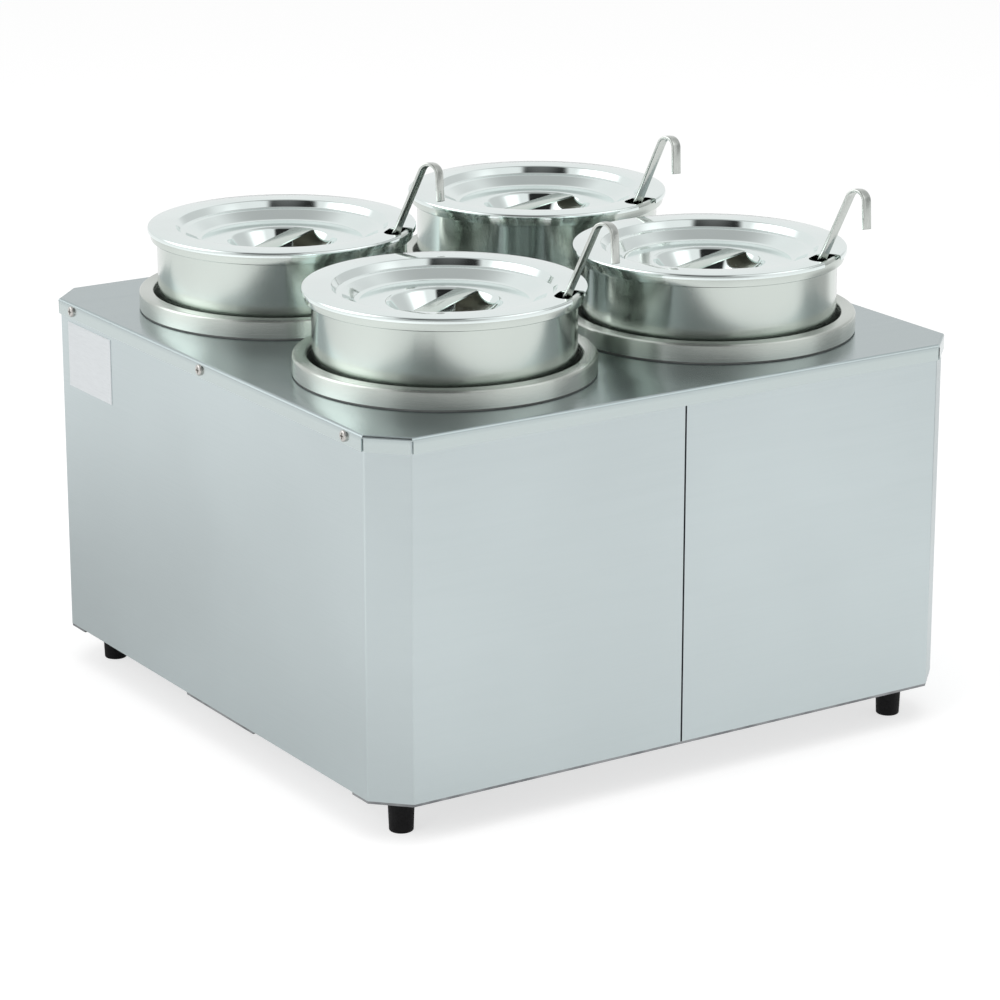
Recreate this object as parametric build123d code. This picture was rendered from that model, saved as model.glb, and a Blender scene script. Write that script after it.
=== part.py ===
from build123d import *
import math
import os

# Four-well countertop food warmer. Millimetres, +Z up, the table at Z = 0.
# Every piece is drawn about the middle of the case. At the end all of them move together along Y, so that
# the origin is the middle of the whole footprint, knobs included.

# Fits
SEAT = 0.3                # rest gap between a loose piece and what it stands on or against
FIT = 0.05                # radial gap of a screw in its thread or a shaft in its bearing
HOLE_CLEAR = 0.4          # radial gap of a screw in a plain hole

# Pots
POT_R = 84.4              # outside of the straight wall
POT_H = 186.0             # bottom to top of the bead
POT_WALL = 0.8
POT_CORNER_R = 3.6        # outside, wall to floor
BEAD_OUT = 4.2            # how far the bead stands out from the wall
BEAD_H = 7.5
BEAD_ROUND = 2.0
POT_PROUD = 55.6          # top of the bead above the deck

# Lids
LID_SHEET = 0.9
LID_OVERHANG = 2.0        # lid edge beyond the pot's bead
LID_EDGE_H = 3.3          # turned-down edge
LID_EDGE_ROUND = 1.4
LID_RIM_W = 18.5          # flat rim
DISH_WALL_RUN = 3.5       # upper wall of the dish, inward and down
DISH_WALL_DROP = 4.8
DISH_LEDGE_RUN = 3.5      # narrow ledge below it
DISH_LEDGE_DROP = 0.6
DISH_COVE_RUN = 9.0       # hollow slope down to the flat middle
DISH_COVE_DROP = 5.6
DISH_ROUND = 1.6          # bends of the upper wall
COVE_ROUND = 7.0          # bend from the hollow slope to the flat middle
RECESS_R = 36.0           # round finger recess in the middle
RECESS_DEPTH = 18.0
RECESS_WALL_RUN = 12.0
RECESS_LIP_ROUND = 4.0
RECESS_FLOOR_ROUND = 9.0
STRAP_W = 14.5            # strap handle across the recess
STRAP_T = 1.2
STRAP_END_GAP = 0.9       # strap end short of the recess lip
STRAP_END_SLANT = 3.0     # how much shorter the underside is
STRAP_TURN = 86.0         # degrees from the notch
NOTCH_W = 24.0            # ladle notch in the rim
NOTCH_DEPTH = 15.5
NOTCH_CORNER_R = 8.0
# which way each loose lid's notch happens to point, degrees from +X
LID_TURNS = {"front_left": -53.0, "front_right": -63.0, "back_left": -51.0, "back_right": -65.0}

# Ladles
LADLE_LEAN = 23.0         # handle, degrees from upright
LADLE_TURN = -15.0        # about the handle's own length, degrees from facing the pot's axis
HANDLE_W = 7.6
HANDLE_T = 2.0
HANDLE_GAP = 1.5          # middle of the handle to the pot's mouth that its edge leans on
HANDLE_ABOVE_MOUTH = 51.6
HANDLE_LAP = 7.0          # handle running down past the bowl's rim
HOOK_R = 4.0
HOOK_TAIL = 21.2
HOOK_OPENING = 37.0       # tail, degrees from the handle
BOWL_R = 30.0
BOWL_WALL = 1.0
WELD_SINK = 0.6           # how far the handle sinks into the bowl's wall

# Wells and collars
WELL_GAP = 3.2            # pot wall to well wall
WELL_SHEET = 1.0
COLLAR_W = 9.7            # top of the collar, well wall to outside
COLLAR_H = 13.0           # above the deck, seal included
COLLAR_OUTER_ROUND = 1.8
COLLAR_INNER_ROUND = 1.4
COLLAR_GAP = 11.9         # between neighbouring collars
DECK_MARGIN = 21.95       # collar to the case's face
SEAL_T = 1.0
SEAL_W = 3.2
SEAL_INSET = 0.4
WELL_HOLE_CLEAR = 1.4     # deck hole round the well's wall
STUD_R = 3.0              # heater stud welded under the well's floor
STUD_L = 14.5

# Heaters and insulation
HEATER_R = 70.0
HEATER_T = 5.0
CLAMP_R = 54.0
CLAMP_T = 2.0
HEATER_NUT_FLATS = 10.0
HEATER_NUT_H = 5.0
TERMINAL_R = 62.0         # terminal boss from the heater's middle
TERMINAL_LENGTH = 14.0
TERMINAL_WIDTH = 9.0
TERMINAL_DROP = 11.0
SLEEVE_T = 11.0
SLEEVE_GAP = 0.5
SLEEVE_TOP_GAP = 10.0     # below the deck
SLEEVE_BOTTOM_GAP = 6.0   # above the well's floor

# Case
CASE_H = 235.0            # panels' bottom edge to the deck's top
CHAMFER = 21.0            # leg of the 45 degree corners
DECK_SHEET = 1.2
DECK_BEND_R = 2.0
LIP_H = 10.5
LIP_GAP = 0.3             # lip to panel
SLIT_W = 1.6              # corner relief slits in the lip
PANEL_SHEET = 1.0
PANEL_BEND_R = 2.2        # outside of the panels' corner bends
PANEL_TOP_GAP = 0.3
SEAM = 1.3                # gap between the two panels
SEAM_FLANGE_W = 12.0
BASE_FLANGE_W = 14.0
PAN_T = 1.8
PAN_INSET = 0.4           # front and back edges of the pan behind the panels' faces
PAN_SIDE_SETBACK = 7.0    # side edges of the pan
PAN_CORNER_L = 19.0       # full-width stretch of the pan behind each corner
PAN_TAB_L = 90.0
PAN_TAB_Y = -12.0
VENT_L = 50.0
VENT_W = 4.0
VENT_PITCH_X = 80.0
VENT_PITCH_Y = 14.0
VENT_COLUMNS = 3
VENT_ROWS = 6
RATING_W = 62.0           # blank rating plate on the left side
RATING_H = 45.0
RATING_T = 0.4
RATING_BACK_INSET = 32.0  # from the back face
RATING_TOP_INSET = 3.5    # below the lip

# Feet
FOOT_H = 26.2
FOOT_TOP_R = 8.75
FOOT_BOTTOM_R = 7.75
FOOT_EDGE = 0.8
FOOT_INSET = 29.3         # from the case's faces
FOOT_WEB = 6.0            # rubber above the screw's head
FOOT_BORE_R = 5.2

# Fasteners: head radius, head height, shank radius
DECK_SCREW = (3.6, 1.8, 1.75)
DECK_SCREW_L = 9.0
DECK_SCREW_INSET = 20.0   # end screws from the chamfers
BASE_SCREW = (3.2, 2.0, 1.75)
BASE_SCREW_L = 8.0
BASE_SCREW_X = (60.0, 150.0)
BASE_SCREW_INSET = 8.0
SEAM_SCREW = (3.4, 2.4, 2.0)
SEAM_SCREW_L = 10.0
SEAM_SCREW_INSET = 7.0
SEAM_SCREW_COUNT = 3
PLATE_SCREW = (2.8, 1.8, 1.5)
PLATE_SCREW_L = 7.0
PLATE_SCREW_INSET = 5.5
FOOT_SCREW = (4.0, 2.6, 2.0)
FOOT_NUT_FLATS = 7.0
FOOT_NUT_H = 3.2
HEAD_ROUND_SHARE = 0.55   # rounding of a screw's head, as a share of its height
RECESS_SHARE = 0.55       # cross recess, as a share of the head's size

# Controls on the back face
PLATE_W = 140.0
PLATE_H = 86.0
PLATE_T = 1.5
PLATE_OVERLAP = 11.0      # plate beyond its opening
PLATE_Z = 56.0            # middle of the plate above the panels' bottom edge
KNOB_DROP = 12.0          # knob's middle below the plate's
LAMP_RISE = 30.0          # lamp above its knob
THERMOSTAT_W = 36.0
THERMOSTAT_H = 32.0
THERMOSTAT_D = 32.0
TAB_W = 6.3
TAB_T = 0.8
TAB_L = 8.0
TAB_SPACING = 16.0
BUSH_R = 5.0
BUSH_L = 6.0              # beyond the plate
BUSH_NUT_FLATS = 14.0
BUSH_NUT_H = 2.5
SHAFT_R = 3.0
SHAFT_IN = 20.0           # shaft behind the plate's face
SHAFT_OUT = 15.0          # shaft beyond it
KNOB_GAP = 1.5            # skirt off the plate
KNOB_H = 19.0
SKIRT_R = 20.0
SKIRT_H = 4.0
HUB_R = 16.0
HUB_H = 6.0
GRIP_W = 9.0
GRIP_L = 34.0
GRIP_ROUND = 2.0
KNOB_BORE_R = 9.5         # room for the bush nut
KNOB_BORE_H = 6.0
LAMP_R = 5.5
LAMP_D = 18.0
LAMP_RIM_R = 7.0
LAMP_RIM_H = 1.6
LAMP_DOME_H = 3.6

# Supply
GLAND_R = 7.0
GLAND_BORE_R = 4.2
GLAND_FLANGE_R = 9.5
GLAND_FLANGE_H = 3.5
GLAND_CAP_R = 8.2
GLAND_CAP_H = 9.0
GLAND_IN = 12.0
GLAND_NUT_R = 10.0
GLAND_NUT_H = 4.0
GLAND_CORNER_INSET = 14.0  # from the corner's chamfer
GLAND_Z = 24.0            # above the panels' bottom edge
BLOCK_L = 46.0
BLOCK_W = 18.0
BLOCK_H = 14.0
BLOCK_X_INSET = 60.0      # from the right face
BLOCK_Y_INSET = 112.0     # from the back face
BLOCK_WAYS = 4
BLOCK_SCREW_R = 2.6
BLOCK_SCREW_H = 2.0
LEAD_R = 1.5
LEAD_BEND_R = 6.0
LEAD_RUN_FRONT = 2.0      # leads from the front heaters, above the pan
LEAD_RUN_BACK = 14.0      # leads from the back heaters
LEAD_TURN_Y = 92.0        # where the leads fan out, from the back face
LEAD_RISE_GAP = 18.0      # upright run behind the thermostat's tab

# Sizes that follow
WELL_R = POT_R + WELL_GAP
COLLAR_R = WELL_R + COLLAR_W
WELL_PITCH = 2 * COLLAR_R + COLLAR_GAP
CASE_W = WELL_PITCH + 2 * (COLLAR_R + DECK_MARGIN)
CASE_D = CASE_W
Z_CASE = FOOT_H + PAN_T
Z_DECK = Z_CASE + CASE_H
Z_POT_TOP = Z_DECK + POT_PROUD
Z_POT = Z_POT_TOP - POT_H
Z_WELL_FLOOR = Z_POT - SEAT
Z_HEATER = Z_WELL_FLOOR - WELL_SHEET - HEATER_T
Z_LID = Z_POT_TOP + SEAT + LID_SHEET
LID_R = POT_R + BEAD_OUT + LID_OVERHANG
DISH_R = LID_R - LID_RIM_W
MIDDLE_R = DISH_R - DISH_WALL_RUN - DISH_LEDGE_RUN - DISH_COVE_RUN
Z_MIDDLE = Z_LID - DISH_WALL_DROP - DISH_LEDGE_DROP - DISH_COVE_DROP
PANEL_H = CASE_H - DECK_SHEET - PANEL_TOP_GAP
KNOB_SPACING = PLATE_W / 2
Y_PLATE = CASE_D / 2 + PLATE_T
Z_KNOB = Z_CASE + PLATE_Z - KNOB_DROP
FRONT_REACH = CASE_D / 2 + LIP_GAP + DECK_SHEET
BACK_REACH = Y_PLATE + KNOB_GAP + KNOB_H
FRAME_SHIFT = Pos(0, (FRONT_REACH - BACK_REACH) / 2, 0)

CORNERS = {"front_left": (-1, -1), "front_right": (1, -1), "back_left": (-1, 1), "back_right": (1, 1)}
SIDES = {"left": -1, "right": 1}
BOTTOM = (Align.CENTER, Align.CENTER, Align.MIN)
TOP = (Align.CENTER, Align.CENTER, Align.MAX)


# Shared shapes

def well_spot(name):
    """Axis of one of the four wells."""
    side, end = CORNERS[name]
    return Pos(side * WELL_PITCH / 2, end * WELL_PITCH / 2, 0)


def knob_x(name):
    """Each half of the control face serves the two wells on its side, the front well by the outer knob."""
    side, end = CORNERS[name]
    return side * (WELL_PITCH - end * KNOB_SPACING) / 2


def back_face(x, y, z):
    """A point on the back: local +Z points out of the case and local +Y points up."""
    return Plane(origin=(x, y, z), x_dir=(-1, 0, 0), z_dir=(0, 1, 0)).location


def sheet_face(points, radii, thickness):
    """Section of a bent sheet: the drawn side, and its other side one thickness to the left."""
    near = [Vector(*point) for point in points]
    along = [(b - a).normalized() for a, b in zip(near, near[1:])]
    left = [Vector(-step.Y, step.X) for step in along]
    far = [near[0] + left[0] * thickness]
    far_radii = []
    for i, radius in enumerate(radii):
        mitre = thickness / (1 + left[i].dot(left[i + 1]))
        far.append(near[i + 1] + (left[i] + left[i + 1]) * mitre)
        turns_left = along[i].cross(along[i + 1]).Z > 0
        far_radii.append(max(radius - thickness, 0) if turns_left else radius + thickness)
    far.append(near[-1] + left[-1] * thickness)
    near_side = FilletPolyline(*near, radius=list(radii))
    far_side = FilletPolyline(*far, radius=far_radii)
    return make_face([near_side, far_side, Line(near[0], far[0]), Line(near[-1], far[-1])])


def spun(face):
    """A section drawn as (radius, height), turned about Z."""
    return revolve(Plane.XZ * face, axis=Axis.Z)


def ring(outer_r, inner_r, height):
    return extrude(Circle(outer_r) - Circle(inner_r), height)


def screw(sizes, length):
    """Pan head above Z = 0 with a cross recess, shank below."""
    head_r, head_h, shank_r = sizes
    head = Cylinder(head_r, head_h, align=BOTTOM)
    head = fillet(head.faces().sort_by(Axis.Z)[-1].edges(), head_h * HEAD_ROUND_SHARE)
    recess = Box(2 * head_r * RECESS_SHARE, head_r * RECESS_SHARE / 2, head_h * RECESS_SHARE, align=TOP)
    recess = Pos(0, 0, head_h) * (recess + Rot(0, 0, 90) * recess)
    return head + Cylinder(shank_r, length, align=TOP) - recess


def screw_hole(sizes, length, clearance):
    return Cylinder(sizes[2] + clearance, length)


def nut(flats, height, hole_r):
    return extrude(RegularPolygon(flats / 2, 6, major_radius=False) - Circle(hole_r), height)


def case_outline(inset, bend_r=0):
    """The case's plan, a rectangle with 45 degree corners, moved in by inset and its corners rounded."""
    x = CASE_W / 2 - inset
    y = CASE_D / 2 - inset
    leg = CHAMFER - inset * (2 - math.sqrt(2))
    half = [(x, -y + leg), (x, y - leg), (x - leg, y), (-x + leg, y)]
    plan = make_face(Polyline(*half, *[(-px, -py) for px, py in half], close=True))
    return fillet(plan.vertices(), bend_r) if bend_r else plan


# Places that several pieces share

def deck_screw_spots():
    """Outer face of the side lips, local +Z pointing out of the case."""
    reach = CASE_D / 2 - CHAMFER - DECK_SCREW_INSET
    x = CASE_W / 2 + LIP_GAP + DECK_SHEET
    z = Z_DECK - LIP_H / 2
    return [Plane(origin=(side * x, y, z), x_dir=(0, 1, 0), z_dir=(side, 0, 0)).location
            for side in SIDES.values() for y in (-reach, 0, reach)]


def base_screw_spots():
    """Underside of the pan, local +Z pointing down."""
    y = CASE_D / 2 - BASE_SCREW_INSET
    spots = [(side * x, end * y) for x in BASE_SCREW_X for side in (-1, 1) for end in (-1, 1)]
    spots += [(side * (CASE_W / 2 - BASE_SCREW_INSET), PAN_TAB_Y) for side in (-1, 1)]
    return [Plane(origin=(x, y, FOOT_H), z_dir=(0, 0, -1)).location for x, y in spots]


def seam_screw_spots():
    """Left flange of each seam, local +Z pointing to the left."""
    y = CASE_D / 2 - SEAM_SCREW_INSET
    step = PANEL_H / SEAM_SCREW_COUNT
    heights = [Z_CASE + step * (i + 0.5) for i in range(SEAM_SCREW_COUNT)]
    x = -SEAM / 2 - PANEL_SHEET
    return [Plane(origin=(x, end * y, z), z_dir=(-1, 0, 0)).location for end in (-1, 1) for z in heights]


def plate_screw_spots():
    """Corners of the two control plates."""
    dx = PLATE_W / 2 - PLATE_SCREW_INSET
    dz = PLATE_H / 2 - PLATE_SCREW_INSET
    z = Z_CASE + PLATE_Z
    return [back_face(side * WELL_PITCH / 2 + i * dx, Y_PLATE, z + k * dz)
            for side in SIDES.values() for i in (-1, 1) for k in (-1, 1)]


def foot_spots():
    x = CASE_W / 2 - FOOT_INSET
    y = CASE_D / 2 - FOOT_INSET
    return {name: Pos(side * x, end * y, 0) for name, (side, end) in CORNERS.items()}


def gland_spot():
    return back_face(CASE_W / 2 - CHAMFER - GLAND_CORNER_INSET, CASE_D / 2, Z_CASE + GLAND_Z)


# Case

def top_deck():
    """Folded tray: a plate with four well holes and a lip on all eight sides, slit at each corner bend."""
    outer = extrude(case_outline(-LIP_GAP - DECK_SHEET), LIP_H)
    outer = fillet(outer.faces().sort_by(Axis.Z)[-1].edges(), DECK_BEND_R)
    deck = Pos(0, 0, Z_DECK - LIP_H) * (outer - extrude(case_outline(-LIP_GAP), LIP_H - DECK_SHEET))
    slit_h = LIP_H - DECK_BEND_R
    slit = Box(4 * DECK_SHEET, SLIT_W, slit_h, align=BOTTOM)
    for side, end in CORNERS.values():
        for dx, dy, turn in ((0, CHAMFER, 22.5), (CHAMFER, 0, 67.5)):
            x = side * (CASE_W / 2 - dx)
            y = end * (CASE_D / 2 - dy)
            deck -= Pos(x, y, Z_DECK - LIP_H) * Rot(0, 0, side * end * turn) * slit
    hole = Cylinder(WELL_R + WELL_SHEET + WELL_HOLE_CLEAR, 2 * LIP_H)
    for name in CORNERS:
        deck -= Pos(0, 0, Z_DECK) * well_spot(name) * hole
    for spot in deck_screw_spots():
        deck -= spot * screw_hole(DECK_SCREW, DECK_SCREW_L, HOLE_CLEAR)
    return deck


def half_panel(side):
    """One half of the case wall, folded round two corners, with a flange at the base and at each seam."""
    outside = case_outline(0, PANEL_BEND_R)
    wall = extrude(outside - case_outline(PANEL_SHEET, PANEL_BEND_R - PANEL_SHEET), PANEL_H)
    wall += extrude(outside - case_outline(BASE_FLANGE_W), PANEL_SHEET)
    half = Pos(side * (SEAM / 2 + CASE_W / 2), 0, 0) * Box(CASE_W, 2 * CASE_D, 2 * PANEL_H)
    panel = Pos(0, 0, Z_CASE) * (wall & half)
    flange = Box(PANEL_SHEET, SEAM_FLANGE_W, PANEL_H, align=BOTTOM)
    for end in (-1, 1):
        y = end * (CASE_D - SEAM_FLANGE_W) / 2
        panel += Pos(side * (SEAM + PANEL_SHEET) / 2, y, Z_CASE) * flange
    opening = Box(PLATE_W - 2 * PLATE_OVERLAP, 4 * PLATE_T + SEAM_FLANGE_W, PLATE_H - 2 * PLATE_OVERLAP)
    panel -= Pos(side * WELL_PITCH / 2, CASE_D / 2, Z_CASE + PLATE_Z) * opening
    for spot in deck_screw_spots():
        panel -= spot * screw_hole(DECK_SCREW, DECK_SCREW_L, FIT)
    for spot in base_screw_spots():
        panel -= spot * screw_hole(BASE_SCREW, 2 * BASE_SCREW_L, FIT)
    for spot in seam_screw_spots():
        panel -= spot * screw_hole(SEAM_SCREW, 2 * SEAM_SCREW_L, FIT)
    for spot in plate_screw_spots():
        panel -= spot * screw_hole(PLATE_SCREW, 2 * PLATE_SCREW_L, FIT)
    panel -= gland_spot() * Cylinder(GLAND_R + FIT, 4 * PANEL_SHEET)
    return panel


def bottom_pan():
    """Flat pan under the base flanges: full width at the corners and at a tab on each side, vented."""
    plan = case_outline(PAN_INSET)
    long_edge = CASE_D / 2 - CHAMFER - PAN_CORNER_L
    tab_front = PAN_TAB_Y - PAN_TAB_L / 2
    tab_back = PAN_TAB_Y + PAN_TAB_L / 2
    for side in SIDES.values():
        for start, stop in ((-long_edge, tab_front), (tab_back, long_edge)):
            notch = Rectangle(2 * PAN_SIDE_SETBACK, stop - start)
            plan -= Pos(side * CASE_W / 2, (start + stop) / 2) * notch
    plan -= GridLocations(VENT_PITCH_X, VENT_PITCH_Y, VENT_COLUMNS, VENT_ROWS) * SlotOverall(VENT_L, VENT_W)
    pan = Pos(0, 0, FOOT_H) * extrude(plan, PAN_T)
    for spot in base_screw_spots():
        pan -= spot * screw_hole(BASE_SCREW, 4 * PAN_T, HOLE_CLEAR)
    for spot in foot_spots().values():
        pan -= spot * Pos(0, 0, FOOT_H) * screw_hole(FOOT_SCREW, 4 * PAN_T, HOLE_CLEAR)
    return pan


def rating_plate():
    """Blank plate on the left side, under the lip, towards the back."""
    y = CASE_D / 2 - RATING_BACK_INSET - RATING_W / 2
    z = Z_DECK - LIP_H - RATING_TOP_INSET - RATING_H / 2
    return Pos(-CASE_W / 2 - RATING_T / 2, y, z) * Box(RATING_T, RATING_W, RATING_H)


def foot():
    """Tapered rubber foot, bored from below for its screw."""
    section = Polyline((FOOT_BOTTOM_R - FOOT_EDGE, 0), (FOOT_BOTTOM_R, FOOT_EDGE), (FOOT_TOP_R, FOOT_H),
                       (0, FOOT_H), (0, 0), close=True)
    body = spun(make_face(section))
    body -= Cylinder(FOOT_BORE_R, FOOT_H - FOOT_WEB, align=BOTTOM)
    return body - screw_hole(FOOT_SCREW, 4 * FOOT_H, HOLE_CLEAR)


def foot_screw():
    length = FOOT_WEB + PAN_T + FOOT_NUT_H
    return Pos(0, 0, FOOT_H - FOOT_WEB) * Rot(180, 0, 0) * screw(FOOT_SCREW, length)


def foot_nut():
    return Pos(0, 0, Z_CASE) * nut(FOOT_NUT_FLATS, FOOT_NUT_H, FOOT_SCREW[2] + FIT)


# Wells and heaters

def well():
    """Rolled wall whose rim turns over into the collar and stands on the deck."""
    skirt_z = Z_DECK + SEAL_T
    top_z = Z_DECK + COLLAR_H
    path = [(COLLAR_R, skirt_z), (COLLAR_R, top_z), (WELL_R, top_z), (WELL_R, Z_WELL_FLOOR)]
    return spun(sheet_face(path, (COLLAR_OUTER_ROUND, COLLAR_INNER_ROUND), WELL_SHEET))


def well_floor():
    """Round plate welded under the well's wall, with the stud that holds the heater welded to it."""
    plate = Pos(0, 0, Z_WELL_FLOOR) * Cylinder(WELL_R + WELL_SHEET, WELL_SHEET, align=TOP)
    stud = Pos(0, 0, Z_WELL_FLOOR - WELL_SHEET) * Cylinder(STUD_R, STUD_L, align=TOP)
    return Compound([plate, stud])


def well_seal():
    outer_r = COLLAR_R - SEAL_INSET
    return Pos(0, 0, Z_DECK) * ring(outer_r, outer_r - SEAL_W, SEAL_T)


def heater(side):
    """Flat plate heater under the well's floor, its terminal boss towards the middle of the case."""
    plate = ring(HEATER_R, STUD_R + HOLE_CLEAR, HEATER_T)
    boss = Box(TERMINAL_LENGTH, TERMINAL_WIDTH, TERMINAL_DROP, align=TOP)
    return Pos(0, 0, Z_HEATER) * (plate + Pos(-side * TERMINAL_R, 0, 0) * boss)


def heater_clamp():
    return Pos(0, 0, Z_HEATER - CLAMP_T) * ring(CLAMP_R, STUD_R + HOLE_CLEAR, CLAMP_T)


def heater_nut():
    return Pos(0, 0, Z_HEATER - CLAMP_T - HEATER_NUT_H) * nut(HEATER_NUT_FLATS, HEATER_NUT_H, STUD_R + FIT)


def insulation_sleeve():
    inner_r = WELL_R + WELL_SHEET + SLEEVE_GAP
    bottom = Z_WELL_FLOOR + SLEEVE_BOTTOM_GAP
    height = Z_DECK - DECK_SHEET - SLEEVE_TOP_GAP - bottom
    return Pos(0, 0, bottom) * ring(inner_r + SLEEVE_T, inner_r, height)


# Controls, drawn with local Z = 0 on the control plate's outer face and +Z out of the case

def control_plate(side):
    x = side * WELL_PITCH / 2
    plate = back_face(x, Y_PLATE, Z_CASE + PLATE_Z) * Box(PLATE_W, PLATE_H, PLATE_T, align=TOP)
    for name, (knob_side, _) in CORNERS.items():
        if knob_side == side:
            plate -= knob_spot(name) * Cylinder(BUSH_R + FIT, 4 * PLATE_T)
            plate -= knob_spot(name) * Pos(0, LAMP_RISE, 0) * Cylinder(LAMP_R + FIT, 4 * PLATE_T)
    for spot in plate_screw_spots():
        plate -= spot * screw_hole(PLATE_SCREW, 4 * PLATE_T, HOLE_CLEAR)
    return plate


def knob_spot(name):
    return back_face(knob_x(name), Y_PLATE, Z_KNOB)


def thermostat():
    """Housing behind the plate, threaded bush through it, two tabs at the back and a bearing for the shaft."""
    body = Pos(0, 0, -PLATE_T) * Box(THERMOSTAT_W, THERMOSTAT_H, THERMOSTAT_D, align=TOP)
    body += Pos(0, 0, -PLATE_T) * Cylinder(BUSH_R, PLATE_T + BUSH_L, align=BOTTOM)
    tab = Box(TAB_W, TAB_T, TAB_L, align=TOP)
    for end in (-1, 1):
        body += Pos(0, end * TAB_SPACING / 2, -PLATE_T - THERMOSTAT_D) * tab
    return body - Pos(0, 0, -SHAFT_IN - SEAT) * Cylinder(SHAFT_R + FIT, SHAFT_IN + 2 * BUSH_L, align=BOTTOM)


def thermostat_shaft():
    return Pos(0, 0, -SHAFT_IN) * Cylinder(SHAFT_R, SHAFT_IN + SHAFT_OUT, align=BOTTOM)


def knob():
    """Moulded knob: skirt, hub and a bar grip, hollow behind for the bush nut, with a blind bore."""
    body = Cylinder(SKIRT_R, SKIRT_H, align=BOTTOM)
    body += Pos(0, 0, SKIRT_H) * Cylinder(HUB_R, HUB_H, align=BOTTOM)
    grip = extrude(SlotOverall(GRIP_L, GRIP_W, rotation=90), KNOB_H)
    body += fillet(grip.faces().sort_by(Axis.Z)[-1].edges(), GRIP_ROUND)
    body -= Cylinder(KNOB_BORE_R, KNOB_BORE_H, align=BOTTOM)
    bore_h = SHAFT_OUT - KNOB_GAP + SEAT
    return Pos(0, 0, KNOB_GAP) * (body - Cylinder(SHAFT_R + FIT, bore_h, align=BOTTOM))


def pilot_lamp():
    """Snap-in lamp: barrel behind the plate, rim and domed lens in front."""
    lens_r = (LAMP_R ** 2 + LAMP_DOME_H ** 2) / (2 * LAMP_DOME_H)
    front = LAMP_RIM_H + LAMP_DOME_H
    lens = Pos(0, 0, front - lens_r) * Sphere(lens_r) & Cylinder(LAMP_R, front, align=BOTTOM)
    return lens + Cylinder(LAMP_RIM_R, LAMP_RIM_H, align=BOTTOM) + Cylinder(LAMP_R, LAMP_D, align=TOP)


# Supply, drawn with local Z = 0 on the panel's outer face

def cord_gland():
    body = Cylinder(GLAND_FLANGE_R, GLAND_FLANGE_H, align=BOTTOM)
    body += Cylinder(GLAND_CAP_R, GLAND_FLANGE_H + GLAND_CAP_H, align=BOTTOM)
    body += Cylinder(GLAND_R, GLAND_IN, align=TOP)
    return body - Cylinder(GLAND_BORE_R, 4 * GLAND_IN)


def gland_nut():
    return Pos(0, 0, -PANEL_SHEET - GLAND_NUT_H) * ring(GLAND_NUT_R, GLAND_R + FIT, GLAND_NUT_H)


def terminal_block():
    """Ceramic block on the pan with a row of terminal screws."""
    block = Box(BLOCK_L, BLOCK_W, BLOCK_H, align=BOTTOM)
    head = Cylinder(BLOCK_SCREW_R, BLOCK_SCREW_H, align=BOTTOM)
    for spot in GridLocations(BLOCK_L / BLOCK_WAYS, BLOCK_W / 2, BLOCK_WAYS, 2):
        block += Pos(0, 0, BLOCK_H) * spot * head
    return Pos(CASE_W / 2 - BLOCK_X_INSET, CASE_D / 2 - BLOCK_Y_INSET, Z_CASE) * block


def heater_lead(name):
    """Lead from a heater's boss, down, along above the pan and up to its thermostat's lower tab."""
    side, end = CORNERS[name]
    x = side * (WELL_PITCH / 2 - TERMINAL_R)
    y = end * WELL_PITCH / 2
    run_z = Z_CASE + (LEAD_RUN_BACK if end > 0 else LEAD_RUN_FRONT)
    turn_y = CASE_D / 2 - LEAD_TURN_Y
    tab_y = Y_PLATE - PLATE_T - THERMOSTAT_D - TAB_L - SEAT
    rise_y = tab_y - LEAD_RISE_GAP
    tab_z = Z_KNOB - TAB_SPACING / 2
    route = [(x, y, Z_HEATER - TERMINAL_DROP), (x, y, run_z), (x, turn_y, run_z), (knob_x(name), rise_y, run_z),
             (knob_x(name), rise_y, tab_z), (knob_x(name), tab_y, tab_z)]
    path = FilletPolyline(*route, radius=LEAD_BEND_R)
    return sweep(Plane(origin=path @ 0, z_dir=path % 0) * Circle(LEAD_R), path=path)


# Pots, lids and ladles, drawn about the well's axis

def pot():
    """Deep drawn pot: straight wall, flat floor, rolled bead round the mouth."""
    path = [(POT_R, Z_POT_TOP - BEAD_H / 2), (POT_R, Z_POT), (0, Z_POT)]
    wall = spun(sheet_face([(r, z) for r, z in reversed(path)], (POT_CORNER_R,), POT_WALL))
    bead_w = BEAD_OUT + POT_WALL
    bead = RectangleRounded(bead_w, BEAD_H, BEAD_ROUND)
    return wall + spun(Pos(POT_R - POT_WALL + bead_w / 2, Z_POT_TOP - BEAD_H / 2) * bead)


def lid():
    """Pressed lid: turned-down edge, flat rim, stepped dish and round recess, notched for the ladle."""
    ledge_r = DISH_R - DISH_WALL_RUN
    cove_r = ledge_r - DISH_LEDGE_RUN
    wall_z = Z_LID - DISH_WALL_DROP
    recess_z = Z_MIDDLE - RECESS_DEPTH
    path = [(LID_R, Z_LID - LID_EDGE_H), (LID_R, Z_LID), (DISH_R, Z_LID), (ledge_r, wall_z),
            (cove_r, wall_z - DISH_LEDGE_DROP), (MIDDLE_R, Z_MIDDLE), (RECESS_R, Z_MIDDLE),
            (RECESS_R - RECESS_WALL_RUN, recess_z), (0, recess_z)]
    radii = (LID_EDGE_ROUND, DISH_ROUND, DISH_ROUND, DISH_ROUND, COVE_ROUND, RECESS_LIP_ROUND, RECESS_FLOOR_ROUND)
    notch = RectangleRounded(4 * NOTCH_DEPTH, NOTCH_W, NOTCH_CORNER_R)
    notch = Pos(LID_R + NOTCH_DEPTH, 0, Z_LID - 2 * LID_EDGE_H) * extrude(notch, 4 * LID_EDGE_H)
    return spun(sheet_face(path, radii, LID_SHEET)) - notch


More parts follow.
